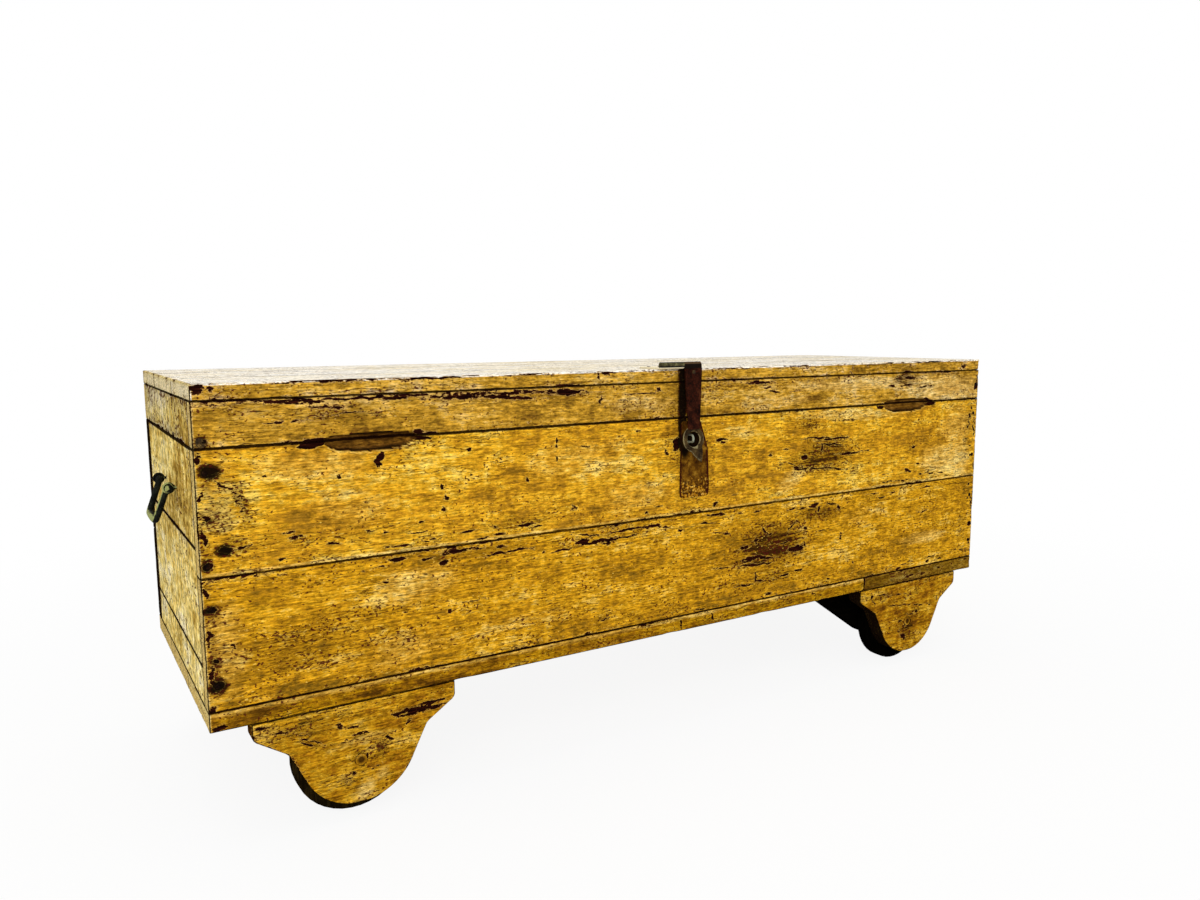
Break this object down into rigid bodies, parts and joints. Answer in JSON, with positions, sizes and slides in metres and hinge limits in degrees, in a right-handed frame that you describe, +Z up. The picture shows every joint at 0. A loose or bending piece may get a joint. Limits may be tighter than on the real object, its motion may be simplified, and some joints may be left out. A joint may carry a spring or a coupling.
{
  "type": "wheeled wooden chest",
  "caption": "Long painted plank chest on small wheels between scalloped brackets, with a hinged lid, hasp and staple, finger scoops and an iron bail at each end.",
  "frame": {"origin": "on the floor under the middle of the carcass", "axes": "+X along the length towards the right-hand end as seen from the front, -Y out of the front where the hasp is, +Z up"},
  "size_m": [1.5696, 0.5289, 0.6176],
  "materials": {
    "ochre_paint": "old mustard-yellow paint on sawn planks, worn and chipped to dark brown",
    "cream_paint": "sun-bleached cream paint on sawn planks, with darker grain lines",
    "olive_paint": "darker olive-brown painted wood of a pieced-in length",
    "bare_wood": "bare dry hardwood inside the chest and lid",
    "dark_wood": "blackened hardwood of the wheels and inner brackets",
    "rusty_iron": "hand-forged strap iron with red-brown rust",
    "dark_iron": "hand-forged iron, black with a green-grey bloom",
    "rubbed_iron": "iron rubbed to a brown-grey shine where it is handled"
  },
  "bodies": {
    "chest": {"base_board_front_long": "ochre_paint", "base_board_front_short": "olive_paint", "base_board_middle": "ochre_paint", "base_board_back": "ochre_paint", "front_plank_lower": "ochre_paint", "front_plank_upper": "ochre_paint", "back_plank_lower": "ochre_paint", "back_plank_upper": "ochre_paint", "left_end_plank_lower": "cream_paint", "left_end_plank_middle": "cream_paint", "left_end_plank_upper": "cream_paint", "right_end_plank_lower": "cream_paint", "right_end_plank_middle": "cream_paint", "right_end_plank_upper": "cream_paint", "corner_post_front_left": "bare_wood", "corner_post_front_right": "bare_wood", "corner_post_back_left": "bare_wood", "corner_post_back_right": "bare_wood", "foot_outer_front_left": "ochre_paint", "foot_outer_front_right": "ochre_paint", "foot_outer_back_left": "ochre_paint", "foot_outer_back_right": "ochre_paint", "foot_inner_front_left": "dark_wood", "foot_inner_front_right": "dark_wood", "foot_inner_back_left": "dark_wood", "foot_inner_back_right": "dark_wood", "axle_front_left": "dark_iron", "axle_front_right": "dark_iron", "axle_back_left": "dark_iron", "axle_back_right": "dark_iron", "hinge_body_leaf_left": "dark_iron", "hinge_body_leaf_right": "dark_iron", "hasp_backing_plate": "rusty_iron", "staple": "rubbed_iron", "left_handle_ring_front": "dark_iron", "left_handle_ring_back": "dark_iron", "right_handle_ring_front": "dark_iron", "right_handle_ring_back": "dark_iron"},
    "lid": {"lid_rim_front": "ochre_paint", "lid_rim_back": "ochre_paint", "lid_rim_left": "cream_paint", "lid_rim_right": "cream_paint", "lid_top_front": "cream_paint", "lid_top_middle": "cream_paint", "lid_top_back": "cream_paint", "lid_batten_left": "bare_wood", "lid_batten_middle": "bare_wood", "lid_batten_right": "bare_wood", "hinge_lid_leaf_left": "dark_iron", "hinge_lid_leaf_right": "dark_iron", "hasp_leaf": "dark_iron", "hasp_pin": "dark_iron"},
    "hasp": {"hasp_strap": "rusty_iron", "hasp_eye": "rubbed_iron"},
    "left_bail": {"left_handle_bail": "dark_iron"},
    "right_bail": {"right_handle_bail": "dark_iron"},
    "front_left_wheel": {"wheel_front_left": "dark_wood"},
    "front_right_wheel": {"wheel_front_right": "dark_wood"},
    "back_left_wheel": {"wheel_back_left": "dark_wood"},
    "back_right_wheel": {"wheel_back_right": "dark_wood"}
  },
  "joints": [
    {"name": "lid_hinge", "type": "hinge", "parent": "chest", "child": "lid", "pos_m": [0, 0.2518, 0.527], "axis": [-1, 0, 0], "range_deg": [0, 105]},
    {"name": "hasp_swing", "type": "hinge", "parent": "lid", "child": "hasp", "pos_m": [0, -0.252, 0.6124], "axis": [-1, 0, 0], "range_deg": [-7, 258]},
    {"name": "left_bail_swing", "type": "hinge", "parent": "chest", "child": "left_bail", "pos_m": [-0.76, -0.028, 0.458], "axis": [0, 1, 0], "range_deg": [-17, 127]},
    {"name": "right_bail_swing", "type": "hinge", "parent": "chest", "child": "right_bail", "pos_m": [0.76, -0.028, 0.458], "axis": [0, -1, 0], "range_deg": [-17, 127]},
    {"name": "front_left_roll", "type": "hinge", "parent": "chest", "child": "front_left_wheel", "pos_m": [-0.56, -0.2012, 0.084], "axis": [0, 1, 0], "continuous": true},
    {"name": "front_right_roll", "type": "hinge", "parent": "chest", "child": "front_right_wheel", "pos_m": [0.56, -0.2012, 0.084], "axis": [0, 1, 0], "continuous": true},
    {"name": "back_left_roll", "type": "hinge", "parent": "chest", "child": "back_left_wheel", "pos_m": [-0.56, 0.2012, 0.084], "axis": [0, 1, 0], "continuous": true},
    {"name": "back_right_roll", "type": "hinge", "parent": "chest", "child": "back_right_wheel", "pos_m": [0.56, 0.2012, 0.084], "axis": [0, 1, 0], "continuous": true}
  ]
}
